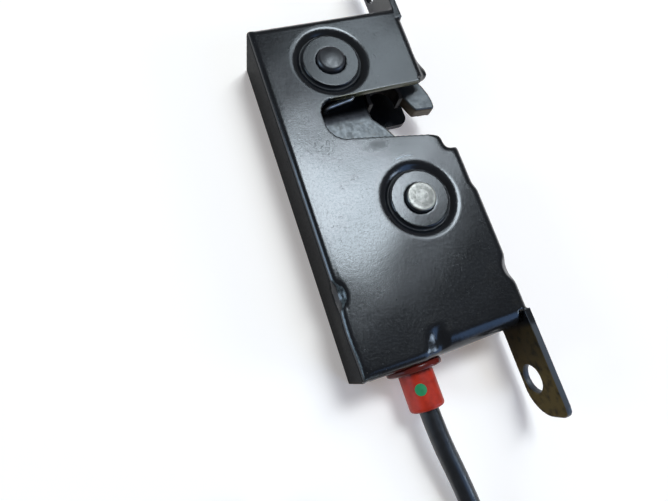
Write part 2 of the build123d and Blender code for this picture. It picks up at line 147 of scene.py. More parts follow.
# Rivets, as pairs of radius and height
pin_top = 19.2
pin_head_r = 3.9
pin_foot = ((0.4, 0.0), (4.9, 0.0), (4.95, 0.05), (3.9, 2.0))
pin_shank = ((4.5, 2.01), (4.5, 15.89), (3.9, 15.9))

# Wire
strand_r = 0.245 * mm
strand_pitch = 9 * mm
strand_step = 0.35 * mm
wire_gap = 0.2 * mm


def make_camera():
    data = bpy.data.cameras.new("camera")
    data.sensor_fit = "HORIZONTAL"
    data.sensor_width = sensor
    data.lens = lens
    data.clip_start = 0.005
    data.clip_end = 20.0
    camera = bpy.data.objects.new("camera", data)
    bpy.context.collection.objects.link(camera)
    turn = Matrix((camera_right, camera_up, camera_back)).transposed().to_4x4()
    camera.matrix_world = Matrix.Translation(camera_place) @ turn
    bpy.context.scene.camera = camera


def lead_route():
    """Stretch from the ferrule's socket down to the coil."""
    return [
        (cable_x, cable_start_y, cable_z),
        (cable_x, -55.4 * mm, cable_z),
        (cable_x + 2.3 * mm, -68.5 * mm, 6.6 * mm),
        (cable_x + 4.0 * mm, -82.0 * mm, 4.1 * mm),
        (cable_x + 4.9 * mm, -95.0 * mm, cable_rest_z),
    ]


def coil_route():
    """Two turns beside each other, then half a turn on top; clockwise from the right."""
    outer = coil_r + cable_d / 2
    inner = coil_r - cable_d / 2
    top_z = cable_rest_z + coil_rise
    stations = [
        (0, outer, cable_rest_z),
        (320, outer, cable_rest_z),
        (390, inner, cable_rest_z),
        (640, inner, cable_rest_z),
        (715, coil_r, top_z),
        (900, coil_r, top_z),
    ]
    angles = [s[0] for s in stations]
    route = []
    for i in range(int(2.5 * turn_points)):
        angle = i * 360 / turn_points
        r = np.interp(angle, angles, [s[1] for s in stations])
        z = np.interp(angle, angles, [s[2] for s in stations])
        route.append((coil_x + r * cos(radians(angle)), coil_y - r * sin(radians(angle)), z))
    return route


def tail_route():
    """From the coil over its outer turn to the far end piece."""
    x = coil_x - coil_r
    rest = 3.95 * mm
    return [
        (x, coil_y, 7.3 * mm),
        (x + 0.1 * mm, coil_y + 8.5 * mm, 8.2 * mm),
        (x + 0.2 * mm, coil_y + 13 * mm, 7.8 * mm),
        (x + 0.5 * mm, coil_y + 21.5 * mm, rest),
        (x + 1.1 * mm, coil_y + 31 * mm, rest),
    ]


def make_cable():
    """Release cable's cover as one smooth spline."""
    curve = bpy.data.curves.new("release_cable", "CURVE")
    curve.dimensions = "3D"
    curve.bevel_depth = 1.0
    curve.bevel_resolution = 7
    curve.resolution_u = 10
    curve.use_fill_caps = True
    route = lead_route() + coil_route() + tail_route()
    spline = curve.splines.new("NURBS")
    spline.points.add(len(route) - 1)
    for point, place in zip(spline.points, route):
        point.co = (*place, 1.0)
        point.radius = cable_d / 2
    spline.order_u = 3
    spline.use_endpoint_u = True
    spline.use_smooth = True
    cable = bpy.data.objects.new("release_cable", curve)
    bpy.context.collection.objects.link(cable)
    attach(cable, "housing")
    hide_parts("cable_sheath", "cable_tail", "cable_coil")
    return cable


def evaluated_mesh(obj):
    """Final mesh of an object with its modifiers, as a new mesh."""
    graph = bpy.context.evaluated_depsgraph_get()
    graph.update()
    return bpy.data.meshes.new_from_object(obj.evaluated_get(graph), depsgraph=graph)


def remeshed(node, name, voxel):
    """Evenly meshed copy of a node's solid, its edges broken by about one voxel."""
    source = bpy.data.objects.new(name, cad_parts[node].data.copy())
    bpy.context.collection.objects.link(source)
    step = source.modifiers.new("even", "REMESH")
    step.mode = "VOXEL"
    step.voxel_size = voxel
    step.use_smooth_shade = True
    mesh = evaluated_mesh(source)
    source.modifiers.clear()
    source.data = mesh
    mesh.name = name
    mesh.materials.clear()
    return source


def points_of(mesh):
    places = np.zeros(len(mesh.vertices) * 3)
    mesh.vertices.foreach_get("co", places)
    return places.reshape(-1, 3) / mm


def set_points(mesh, places):
    mesh.vertices.foreach_set("co", (places * mm).ravel())
    mesh.update()


def relax(mesh, places, weight, rounds):
    """Points drawn towards the middle of their neighbours, as far as their weight says."""
    ends = np.zeros(len(mesh.edges) * 2, dtype=np.int64)
    mesh.edges.foreach_get("vertices", ends)
    a, b = ends.reshape(-1, 2).T
    count = np.bincount(a, minlength=len(places)) + np.bincount(b, minlength=len(places))
    for _ in range(rounds):
        total = np.zeros_like(places)
        for axis in range(3):
            total[:, axis] = np.bincount(a, places[b, axis], len(places))
            total[:, axis] += np.bincount(b, places[a, axis], len(places))
        middle = total / count[:, None]
        places = places + (middle - places) * weight[:, None]
    return places


def smooth_step(value, low, high):
    t = np.clip((value - low) / (high - low), 0, 1)
    return t * t * (3 - 2 * t)


def hump(value, middle, half):
    """1 at the middle, falling smoothly to 0 at half a width either side."""
    return 1 - smooth_step(np.abs(value - middle), 0, half)


def replace_node(piece, node, body):
    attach(piece, body)
    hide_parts(node)


def thinned(piece, faces, spare):
    """Fewer triangles, taken where the spare points are."""
    group = piece.vertex_groups.new(name="spare")
    group.add([int(i) for i in np.flatnonzero(spare)], 1.0, "REPLACE")
    step = piece.modifiers.new("thin", "DECIMATE")
    step.ratio = min(1.0, faces / (2 * len(piece.data.polygons)))
    step.vertex_group = group.name
    mesh = evaluated_mesh(piece)
    piece.modifiers.clear()
    piece.vertex_groups.clear()
    piece.data = mesh
    mesh.name = piece.name


def ring_drop(r):
    """How far a pivot's pressed ring lies under the front face, from the slope of its outer side."""
    radii = np.linspace(ring_slopes[0][0], ring_slopes[-1][0], 200)
    slope = np.interp(radii, *zip(*ring_slopes))
    drop = np.cumsum(slope[::-1])[::-1] * (radii[1] - radii[0])
    return np.interp(r, radii, drop) * smooth_step(r, disc_r - disc_edge, disc_r + disc_foot)


def press_ring(p, cx, cy):
    """Crisp disc, hollow floor and rolled shoulder in place of the evenly meshed groove."""
    x, y, z = p.T
    r = np.hypot(x - cx, y - cy)
    near = (z > front_z - ring_depth) & (r > opening_r) & (r < ring_reach)
    outside_disc = r > disc_r - 0.3
    floor = outside_disc & (z < front_z - hollow_depth)
    wall = outside_disc & (r < disc_r + 0.35) & (z < front_z - disc_edge) & ~floor
    new_r = np.where(wall, disc_r - 0.08 + disc_lean * (front_z - z), r)
    spread_r = np.maximum(disc_r + disc_foot, hollow_r - (hollow_r - r) * hollow_spread)
    new_r = np.where(floor & (r < hollow_r), spread_r, new_r)
    share = np.where(near, new_r / np.maximum(r, 0.1), 1.0)
    p[:, 0] = cx + (x - cx) * share
    p[:, 1] = cy + (y - cy) * share
    p[:, 2] = np.where(near, front_z - ring_drop(new_r), z)


def tighten_fold(p):
    """Left fold drawn out from the CAD's wider bend towards the tighter one of the real pressing."""
    x, z = p[:, 0], p[:, 2]
    out = left_x + bend_r - x
    up = z - (front_z - bend_r)
    rho = np.hypot(out, up)
    outer_skin = rho > 1.0
    bent = (out > 0) & (up > 0) & outer_skin
    rho = np.maximum(rho, 0.01)
    u = out / rho
    w = up / rho
    inset = bend_r - left_bend_r
    inner = np.maximum(inset**2 * (u + w) ** 2 - 2 * inset**2 + left_bend_r**2, 0)
    arc = inset * (u + w) + np.sqrt(inner)
    flat = bend_r / np.maximum(np.maximum(u, w), 0.01)
    on_arc = (arc * u >= inset) & (arc * w >= inset)
    share = np.where(bent, np.where(on_arc, arc, flat) / bend_r, 1.0)
    p[:, 0] = left_x + bend_r - out * share
    p[:, 2] = np.where(bent, front_z - bend_r + up * share, z)


def spare_points(p):
    """Points where triangles can be saved: inside the walls and low down, away from what shows."""
    x, y, z = p.T
    margin = 1.2
    inside = (x > left_x + margin) & (x < right_x - margin) & (y > bottom_y + margin) & (y < top_y - margin)
    under_front = z < front_z - 1.45
    low_wall = (z < front_z - 4) & (y > bottom_y + 4)
    return (inside & under_front) | low_wall


def softness(p, front):
    """How far each point relaxes: the crease over the cable, both dents, the jaw's knob, the slot's lip."""
    x, y, z = p.T
    soft = hump(x, crease_x, crease_half) * smooth_step(-y, *crease_zone) * front
    for dent_x, dent_y in ((fold_left, left_dent_y), (fold_right, right_dent_y)):
        dent = hump(x, dent_x, dent_half_x) * hump(y, dent_y, dent_half_y) * front
        soft = np.maximum(soft, dent_softness * dent)
    knob = smooth_step(x, 14.0, 15.5) * smooth_step(y, 32.0, 34.0) * (1 - smooth_step(y, 42.0, 45.0))
    knob = knob * smooth_step(z, 10.5, 12.5)
    lip = hump(x, lip_x, 4.5) * hump(y, lip_y, 5.5) * smooth_step(z, 12.0, 15.0)
    return np.maximum(soft, np.maximum(knob, lip))


def press_low_end(p):
    """Bulge of the left wall, dimple over the cable and slanted wide bend at the cable's end."""
    x, y, z = p.T
    bulge = hump(y, bulge_y, 9.0) * smooth_step(z, 6.0, 15.0) * smooth_step(-x, 25.0, 27.5)
    p[:, 0] -= bulge_depth * bulge
    lean = 0.25 * (y - dimple_y)
    dimple = hump(x - lean, dimple_x, dimple_half_x) * hump(y, dimple_y, dimple_half_y)
    dimple = dimple * smooth_step(z, 12.5, 16.0)
    p[:, 1] += 0.5 * dimple
    p[:, 2] -= dimple_depth * dimple
    slant = smooth_step(x, -10.0, 13.5) * (1 - smooth_step(x, 14.1, 15.2)) * smooth_step(-y, 34.0, 37.0)
    p[:, 1] += slant_depth * slant


def make_cover():
    """Pressed cover with its real softness: broken edges, round shoulders, uneven folds, faint waves."""
    piece = remeshed("housing_cover", "pressed_cover", cover_voxel)
    mesh = piece.data
    p = points_of(mesh)
    spare = spare_points(p)
    front = smooth_step(p[:, 2], *front_zone)
    p = relax(mesh, p, 0.75 * softness(p, front), 60)
    p = relax(mesh, p, 0.3 * np.ones(len(p)), 4)
    tighten_fold(p)
    for cx, cy in pivots:
        press_ring(p, cx, cy)
    press_low_end(p)
    x, y = p[:, 0], p[:, 1]
    waves = wave_depth * np.sin(x * 0.31 + 1.0) * np.sin(y * 0.23)
    waves = waves + ripple_depth * np.sin(x * 0.17 - y * 0.41)
    p[:, 2] += front * (waves - front_inset)
    set_points(mesh, p)
    thinned(piece, cover_faces, spare)
    replace_node(piece, "housing_cover", "housing")
    return piece


def make_lever(node, name, body):
    """Blanked steel lever with rolled edges and slightly uneven faces."""
    piece = remeshed(node, name, lever_voxel)
    mesh = piece.data
    p = points_of(mesh)
    p = relax(mesh, p, 0.4 * np.ones(len(p)), 5)
    x, y = p[:, 0], p[:, 1]
    p[:, 2] += wave_depth * np.sin(x * 0.9 + y * 0.4) * np.sin(y * 0.7 - x * 0.2)
    set_points(mesh, p)
    replace_node(piece, node, body)
    return piece


def lathe(name, profile, x, y, steps=96):
    """Closed turned piece about an upright axis, from pairs of radius and height in millimetres."""
    places = []
    faces = []
    for r, z in profile:
        for i in range(steps):
            angle = 2 * pi * i / steps
            places.append(((x + r * cos(angle)) * mm, (y + r * sin(angle)) * mm, z * mm))
    for row in range(len(profile) - 1):
        for i in range(steps):
            j = (i + 1) % steps
            a = row * steps
            faces.append((a + i, a + j, a + steps + j, a + steps + i))
    last = (len(profile) - 1) * steps
    faces.append(tuple(range(steps - 1, -1, -1)))
    faces.append(tuple(range(last, last + steps)))
    mesh = bpy.data.meshes.new(name)
    mesh.from_pydata(places, [], faces)
    for face in mesh.polygons:
        face.use_smooth = len(face.vertices) == 4
    mesh.update()
    piece = bpy.data.objects.new(name, mesh)
    bpy.context.collection.objects.link(piece)
    return piece


def arc_points(r, z, radius, start, stop, steps=6):
    """Points of a rounded edge, centred at a radius and height."""
    points = []
    for i in range(steps + 1):
        angle = radians(start + (stop - start) * i / steps)
        points.append((r + radius * cos(angle), z + radius * sin(angle)))
    return points


def make_pin(node, name, x, y, crown, edge):
    """Rivet: countersunk foot, shank, and a head with a rounded edge and a slightly crowned top."""
    profile = [*pin_foot, *pin_shank]
    profile += arc_points(pin_head_r - edge, pin_top - crown - edge, edge, 0, 80)
    steps = 8
    for i in range(steps):
        share = 1 - (i + 0.5) / steps
        profile.append(((pin_head_r - edge) * share, pin_top - crown * share**2 - 0.01))
    piece = lathe(name, profile, x, y)
    replace_node(piece, node, "housing")
    return piece


def strand_route(axis_start, way, length, turn_start, radius):
    """Helix of one strand along a straight wire."""
    side = way.orthogonal().normalized()
    up = way.cross(side)
    route = []
    steps = max(8, int(length / strand_step))
    for i in range(steps + 1):
        along = length * i / steps
        angle = turn_start + 2 * pi * along / strand_pitch
        route.append(axis_start + way * along + side * (radius * cos(angle)) + up * (radius * sin(angle)))
    return route


def make_wire(node, name, body, way):
    """Stranded wire: six strands laid round a core."""
    low, high = (Vector(c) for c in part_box(node))
    middle = (low + high) / 2
    way = Vector(way).normalized()
    length = (high - low).y / abs(way.y) - wire_gap
    start = middle - way * (length / 2)
    curve = bpy.data.curves.new(name, "CURVE")
    curve.dimensions = "3D"
    curve.bevel_depth = 1.0
    curve.bevel_resolution = 2
    curve.use_fill_caps = True
    for i in range(7):
        radius = 0 if i == 6 else 2 * strand_r
        route = strand_route(start, way, length, i * pi / 3, radius)
        spline = curve.splines.new("POLY")
        spline.points.add(len(route) - 1)
        for point, place in zip(spline.points, route):
            point.co = (*place, 1.0)
            point.radius = strand_r
        spline.use_smooth = True
    piece = bpy.data.objects.new(name, curve)
    bpy.context.collection.objects.link(piece)
    replace_node(piece, node, body)
    return piece


class Shader:
    """One node material: a principled shader with textures in the object's own coordinates."""

    def __init__(self, name, **values):
        self.material = bpy.data.materials.new(name)
        self.material.use_nodes = True
        self.tree = self.material.node_tree
        self.shader = self.tree.nodes["Principled BSDF"]
        self.coords = self.tree.nodes.new("ShaderNodeTexCoord").outputs["Object"]
        for key, value in values.items():
            self.shader.inputs[key].default_value = value

    def node(self, kind, inputs=(), **settings):
        node = self.tree.nodes.new(kind)
        for key, value in settings.items():
            setattr(node, key, value)
        for key, value in dict(inputs).items():
            if isinstance(value, bpy.types.NodeSocket):
                self.tree.links.new(value, node.inputs[key])
            else:
                node.inputs[key].default_value = value
        return node

    def scaled(self, factors):
        """Coordinates stretched along the axes."""
        return self.node("ShaderNodeMapping", {"Vector": self.coords, "Scale": factors}).outputs["Vector"]

    def noise(self, size, detail=3.0, rough=0.5, vector=None, distort=0.0):
        """Cloudy texture with features of about that size in metres."""
        inputs = {
            "Vector": vector or self.coords,
            "Scale": 1 / size,
            "Detail": detail,
            "Roughness": rough,
            "Distortion": distort,
        }
        return self.node("ShaderNodeTexNoise", inputs).outputs["Fac"]

    def cells(self, size):
        """Distance to scattered points that lie about that size apart."""
        inputs = {"Vector": self.coords, "Scale": 1 / size}
        return self.node("ShaderNodeTexVoronoi", inputs, feature="F1").outputs["Distance"]

    def ramp(self, value, low, high, out_low=0.0, out_high=1.0):
        """Value taken smoothly from one range to another."""
        node = self.node(
            "ShaderNodeMapRange",
            {"Value": value, "From Min": low, "From Max": high, "To Min": out_low, "To Max": out_high},
            interpolation_type="SMOOTHSTEP",
        )
        return node.outputs["Result"]

    def math(self, operation, a, b=0.0):
        node = self.node("ShaderNodeMath", operation=operation)
        for i, value in enumerate((a, b)):
            if isinstance(value, bpy.types.NodeSocket):
                self.tree.links.new(value, node.inputs[i])
            else:
                node.inputs[i].default_value = value
        return node.outputs["Value"]

    def product(self, first, *others):
        """All the values multiplied."""
        for value in others:
            first = self.math("MULTIPLY", first, value)
        return first

    def axis(self, name):
        """One coordinate, in metres."""
        return self.node("ShaderNodeSeparateXYZ", {"Vector": self.coords}).outputs[name]

    def distance(self, x, y):
        """Distance from an upright axis, in metres."""
        return self.apart((x, y, 0), (1, 1, 0))

    def apart(self, place, stretch):
        """Distance from a point, counted by so much along each axis."""
        kind = "ShaderNodeVectorMath"
        away = self.node(kind, {0: self.coords, 1: place}, operation="SUBTRACT").outputs["Vector"]
        counted = self.node(kind, {0: away, 1: stretch}, operation="MULTIPLY").outputs["Vector"]
        return self.node(kind, {0: counted}, operation="LENGTH").outputs["Value"]

    def band(self, value, middle, half):
        """1 where a value is at the middle, falling to 0 at half a width either side."""
        away = self.math("ABSOLUTE", self.math("SUBTRACT", value, middle))
        return self.ramp(away, half, 0.5 * half)

    def facing_up(self):
        """How far the surface faces up or down, from 0 to 1."""
        normal = self.node("ShaderNodeTexCoord").outputs["Normal"]
        z = self.node("ShaderNodeSeparateXYZ", {"Vector": normal}).outputs["Z"]
        return self.math("ABSOLUTE", z)

    def mix(self, factor, a, b):
        node = self.node("ShaderNodeMix", data_type="RGBA")
        for i, value in ((0, factor), (6, a), (7, b)):
            if isinstance(value, bpy.types.NodeSocket):
                self.tree.links.new(value, node.inputs[i])
            else:
                node.inputs[i].default_value = value if i == 0 else (*value, 1)
        return node.outputs[2]

    def colour(self, socket):
        self.tree.links.new(socket, self.shader.inputs["Base Color"])

    def roughness(self, socket):
        self.tree.links.new(socket, self.shader.inputs["Roughness"])

    def metallic(self, socket):
        self.tree.links.new(socket, self.shader.inputs["Metallic"])

    def bump(self, *layers):
        """Surface relief from pairs of height and depth in metres."""
        normal = None
        for height, depth in layers:
            inputs = {"Height": height, "Distance": depth, "Strength": 1.0}
            if normal:
                inputs["Normal"] = normal
            normal = self.node("ShaderNodeBump", inputs).outputs["Normal"]
        self.tree.links.new(normal, self.shader.inputs["Normal"])


def tab_reflection_and_cut_edge(s, base, x, y):
    """The tab's inner face in a painted olive reflection of a brown surround, paler towards the free end, and
    a mask for its sheared edge and its hole's rim.
    """
    on_tab = s.ramp(y, -37.5 * mm, -39.5 * mm)
    inside = s.ramp(x, (tab_inner_x + 0.1) * mm, (tab_inner_x - 0.2) * mm)
    # Painted reflection: olive colours for the tab's inner face, paler at its free end.
    olive = s.mix(s.ramp(y, -54 * mm, -42 * mm), (0.080, 0.050, 0.014), (0.030, 0.019, 0.006))
    base = s.mix(s.product(on_tab, inside, s.ramp(s.noise(2.5 * mm, 5.0), 0.2, 0.55)), base, olive)
    sheared = s.product(on_tab, s.ramp(s.facing_up(), 0.6, 0.8))
    from_hole = s.apart((0, tab_hole_y * mm, tab_hole_z * mm), (0, 1, 1))
    rim = s.ramp(from_hole, (tab_hole_r + 0.3) * mm, (tab_hole_r + 0.1) * mm)
    cut_edge = s.math("MAXIMUM", sheared, rim)
    return s.mix(s.product(cut_edge, 0.85), base, (0.035, 0.038, 0.045)), cut_edge


def fold_wear_and_highlight(s, x, y):
    """Mask of the rubbed coat and painted highlight along the left fold, from its dent down."""
    on_ridge = s.product(s.band(s.facing_up(), 0.78, 0.11), s.ramp(x, -24.0 * mm, -26.0 * mm))
    return s.product(on_ridge, s.ramp(y, -9 * mm, -16 * mm), s.ramp(s.noise(0.9 * mm, 4.0, 0.7), 0.30, 0.62))


def slot_wear(s, x, y, z):
    """Mask of the rubbed upper edge of the striker slot."""
    edge_y = 32.3 * mm
    on_edge = s.product(s.band(y, edge_y, 0.3 * mm), s.ramp(z, 15.7 * mm, 16.0 * mm))
    return s.product(on_edge, s.ramp(x, -14.5 * mm, -10 * mm))


def rub_mark(s, x, y):
    """Mask of the short arc rubbed above the lower pivot's ring."""
    arc_r = 12.0 * mm
    arc = s.product(s.band(s.distance(0, 0), arc_r, 0.22 * mm), s.ramp(y, 8 * mm, 10 * mm))
    return s.product(arc, s.band(x, -0.3 * mm, 2.8 * mm), s.ramp(s.noise(1.8 * mm, 2.0), 0.15, 0.60))


def curl_marks(s, x, y):
    """Mask of hair-fine curled marks on the upper left of the face, closest by the slot's corner."""
    curl = s.band(s.noise(4.5 * mm, 1.0, 0.5, distort=2.2), 0.5, 0.014)
    curl = s.product(curl, s.ramp(s.noise(3.4 * mm, 3.0), 0.58, 0.66))
    curl = s.product(curl, s.ramp(y, -6 * mm, -2 * mm), s.ramp(x, -8 * mm, -11 * mm))
    slot_corner = (-19.5 * mm, 19.8 * mm, front_z * mm)
    near_corner = s.ramp(s.apart(slot_corner, (1.0, 0.6, 1.0)), 3.6 * mm, 1.6 * mm)
    corner_curl = s.band(s.noise(2.6 * mm, 1.0, 0.5, distort=1.6), 0.5, 0.03)
    return s.math("MAXIMUM", curl, s.product(corner_curl, near_corner))


def smudge_mark(s):
    """Mask of the dull stain under the striker slot."""
    stain = (-6.2 * mm, 16.7 * mm, front_z * mm)
    near = s.ramp(s.apart(stain, (0.40, 1.0, 1.0)), 2.1 * mm, 0.7 * mm)
    return s.product(near, s.ramp(s.noise(2.5 * mm, 3.0), 0.1, 0.7))


def scuffs(s):
    """Mask of scattered fine scuffs along the housing."""
    scuff = s.ramp(s.noise(1.1 * mm, 6.0, 0.7, s.scaled((1.0, 0.35, 1.0)), 1.2), 0.60, 0.70)
    return s.product(scuff, s.ramp(s.noise(11 * mm, 2.0), 0.50, 0.64))


def ring_feet(s):
    """Mask of the dull foot of each pivot's disc."""
    foot_r = 8.15 * mm
    return s.math("MAXIMUM", *(s.band(s.distance(a * mm, b * mm), foot_r, 0.35 * mm) for a, b in pivots))


def black_coat(name, gloss=0.45, dull=0.0, shade=1.0):
    """Satin black dip coat on sheet steel: fine orange peel, dust specks, scuffs and thin brown dirt, with
    painted shade, a painted olive reflection on the tab and a painted highlight on the left fold.
    """
    s = Shader(name, **{"Specular IOR Level": gloss})
    x, y, z = (s.axis(a) for a in "XYZ")
    cloud = s.ramp(s.noise(9 * mm, 5.0, 0.6), 0.35, 0.7)
    base = s.mix(cloud, (0.0040, 0.0044, 0.0055), (0.0080, 0.0085, 0.0100))
    dirt = s.ramp(s.noise(5 * mm, 6.0, 0.65, distort=0.6), 0.56, 0.78)
    base = s.mix(s.product(dirt, 0.3), base, (0.022, 0.019, 0.015))
    # Painted shade: the base darkened towards black where shade is below 1, as on the left wall.
    base = s.mix(1.0 - shade, base, (0.0, 0.0, 0.0))
    # Painted olive reflection on the tab's inner face; the tab's cut edges in a paler grey.
    base, cut_edge = tab_reflection_and_cut_edge(s, base, x, y)
    # Rubbed coat and painted highlight: a pale blue-grey line on the left fold's bend below its dent.
    base = s.mix(s.product(fold_wear_and_highlight(s, x, y), 0.45), base, (0.12, 0.145, 0.15))
    base = s.mix(s.product(slot_wear(s, x, y, z), 0.8), base, (0.15, 0.13, 0.07))
    speck = s.product(s.ramp(s.cells(1.5 * mm), 0.09, 0.03), s.ramp(s.noise(4 * mm, 2.0), 0.52, 0.60))
    base = s.mix(s.product(speck, 0.6), base, (0.16, 0.15, 0.13))
    rub = rub_mark(s, x, y)
    s.colour(s.mix(rub, base, (0.30, 0.33, 0.35)))
    marks = s.math("MAXIMUM", scuffs(s), curl_marks(s, x, y))
    rough = s.ramp(s.noise(0.55 * mm, 4.0, 0.7), 0.42, 0.66, 0.18 + dull, 0.25 + dull)
    rough = s.math("ADD", rough, s.product(marks, 0.14))
    rough = s.math("ADD", rough, s.product(s.math("MAXIMUM", rub, smudge_mark(s)), 0.2))
    dull_parts = s.math("MAXIMUM", ring_feet(s), s.product(cut_edge, 0.6))
    s.roughness(s.math("ADD", rough, s.product(dull_parts, 0.45)))
    s.bump(
        (s.noise(0.6 * mm, 3.0), 0.011 * mm),
        (s.noise(0.30 * mm, 2.0), 0.007 * mm),
        (s.noise(2.2 * mm, 2.0), 0.012 * mm),
        (marks, -0.004 * mm),
    )
    return s.material


def dull_steel(name, face, edge, rough):
    """Bare rolled steel: dull stained faces, a painted brown reflection on the sides, and a painted shadow of
    the slot's upper edge over the upper end and the hub.
    """
    s = Shader(name, **{"Metallic": 0.85})
    x, y = s.axis("X"), s.axis("Y")
    cloud = s.ramp(s.noise(2.6 * mm, 5.0, 0.6), 0.30, 0.72)
    stain = s.ramp(s.noise(1.3 * mm, 6.0, 0.7, distort=0.8), 0.50, 0.75)
    light = tuple(min(1, 1.35 * c) for c in face)
    base = s.mix(cloud, face, light)
    base = s.mix(s.math("MULTIPLY", stain, 0.35), base, edge)
    # Painted shadow: the lever darkened above y 28–30 mm and left of x 1–4 mm, where the slot's upper edge
    # shades it.
    ragged_y = s.math("ADD", y, s.math("MULTIPLY", s.noise(3 * mm, 4.0), 1.5 * mm))
    shade_and_grease = s.math("MULTIPLY", s.ramp(ragged_y, 28.2 * mm, 30.2 * mm), s.ramp(x, 4 * mm, 1 * mm))
    base = s.mix(s.math("MULTIPLY", shade_and_grease, 0.93), base, (0.008, 0.008, 0.010))
    # Painted reflection: the sides, where the surface faces away from up, turn to the brown edge colour.
    side = s.ramp(s.facing_up(), 0.75, 0.35)
    s.colour(s.mix(s.math("MULTIPLY", side, 0.8), base, edge))
    s.roughness(s.ramp(s.noise(0.9 * mm, 4.0), 0.3, 0.7, rough - 0.05, rough + 0.09))
    lines = s.noise(0.5 * mm, 3.0, 0.6, s.scaled((1.0, 0.15, 1.0)))
    s.bump((lines, 0.004 * mm), (s.noise(0.35 * mm, 3.0), 0.004 * mm), (s.noise(1.8 * mm, 3.0), 0.010 * mm))
    return s.material


def worn_pin(name):
    """Pin head whose black coat is rubbed through to bare, lightly pitted metal."""
    s = Shader(name)
    z = s.axis("Z")
    r = s.distance(0, 0)
    top = s.math("MULTIPLY", s.ramp(z, 18.55 * mm, 18.75 * mm), s.ramp(s.noise(0.9 * mm, 4.0), 0.22, 0.34))
    pits = s.ramp(s.noise(0.35 * mm, 5.0, 0.65), 0.54, 0.68)
    cloud = s.ramp(s.noise(1.4 * mm, 4.0, 0.6), 0.35, 0.65)
    bare = s.mix(cloud, (0.13, 0.125, 0.115), (0.24, 0.23, 0.21))
    bare = s.mix(s.math("MULTIPLY", s.band(r, 2.3 * mm, 0.7 * mm), 0.5), bare, (0.10, 0.095, 0.085))
    bare = s.mix(s.math("MULTIPLY", s.band(r, 3.5 * mm, 0.5 * mm), 0.5), bare, (0.28, 0.27, 0.24))
    bare = s.mix(s.math("MULTIPLY", pits, 0.8), bare, (0.045, 0.042, 0.036))
    s.colour(s.mix(top, (0.012, 0.0125, 0.014), bare))
    s.metallic(s.math("MULTIPLY", top, 0.9))
    s.roughness(s.ramp(s.noise(0.6 * mm, 4.0), 0.3, 0.7, 0.36, 0.48))
    s.bump((pits, -0.010 * mm), (s.noise(0.25 * mm, 3.0), 0.004 * mm))
    return s.material


def plain_metal(name, colour, shade, rough=0.35):
    """Drawn or cast metal with faint cloudiness and drawing marks."""
    s = Shader(name, **{"Metallic": 1.0})
    s.colour(s.mix(s.ramp(s.noise(1.5 * mm, 5.0, 0.6), 0.35, 0.7), colour, shade))
    s.roughness(s.ramp(s.noise(0.8 * mm, 4.0), 0.3, 0.7, rough - 0.05, rough + 0.1))
    s.bump((s.noise(0.2 * mm, 3.0), 0.003 * mm))
    return s.material


def plain_plastic(name, colour, shade, rough=0.45, relief=0.003):
    """Moulded plastic with faint cloudiness, grain and handling marks."""
    s = Shader(name)
    s.colour(s.mix(s.ramp(s.noise(2.5 * mm, 5.0, 0.6), 0.35, 0.7), colour, shade))
    s.roughness(s.ramp(s.noise(1.5 * mm, 4.0), 0.3, 0.7, rough - 0.06, rough + 0.08))
    s.bump((s.noise(0.3 * mm, 3.0), relief * mm), (s.noise(2 * mm, 2.0), 3 * relief * mm))
    return s.material


def ferrule_red(name):
    """Red moulded plastic, darker and glossier on and above the flange: painted shade under the cover's edge,
    with a greasy gloss.
    """
    s = Shader(name, **{"Specular IOR Level": 0.25})
    y = s.axis("Y")
    tone = s.mix(s.ramp(s.noise(2.5 * mm, 5.0, 0.6), 0.35, 0.7), (0.44, 0.026, 0.009), (0.30, 0.016, 0.006))
    # Painted shade with a greasy gloss: the flange top and the part above it darker and smoother.
    ragged_y = s.math("ADD", y, s.math("MULTIPLY", s.noise(1.8 * mm, 5.0, 0.65), 2.2 * mm))
    shade_and_grease = s.ramp(ragged_y, -40.0 * mm, -38.9 * mm)
    tone = s.mix(s.math("MULTIPLY", shade_and_grease, 0.85), tone, (0.045, 0.010, 0.008))
    s.colour(tone)
    s.roughness(s.ramp(shade_and_grease, 0.0, 1.0, 0.40, 0.22))
    s.bump((s.noise(0.35 * mm, 3.0), 0.003 * mm), (s.noise(2.5 * mm, 2.0), 0.02 * mm))
    return s.material


def cable_skin(name):
    """Extruded black cable cover with faint lengthwise streaks and dust."""
    s = Shader(name)
    fine = s.noise(0.35 * mm, 3.0)
    dust = s.ramp(s.noise(3 * mm, 6.0, 0.7), 0.52, 0.75)
    s.colour(s.mix(s.math("MULTIPLY", dust, 0.5), (0.008, 0.008, 0.009), (0.026, 0.025, 0.024)))
    s.roughness(s.ramp(s.noise(1.2 * mm, 4.0), 0.3, 0.7, 0.30, 0.42))
    s.bump((fine, 0.003 * mm), (s.noise(1.5 * mm, 2.0), 0.008 * mm))
    return s.material


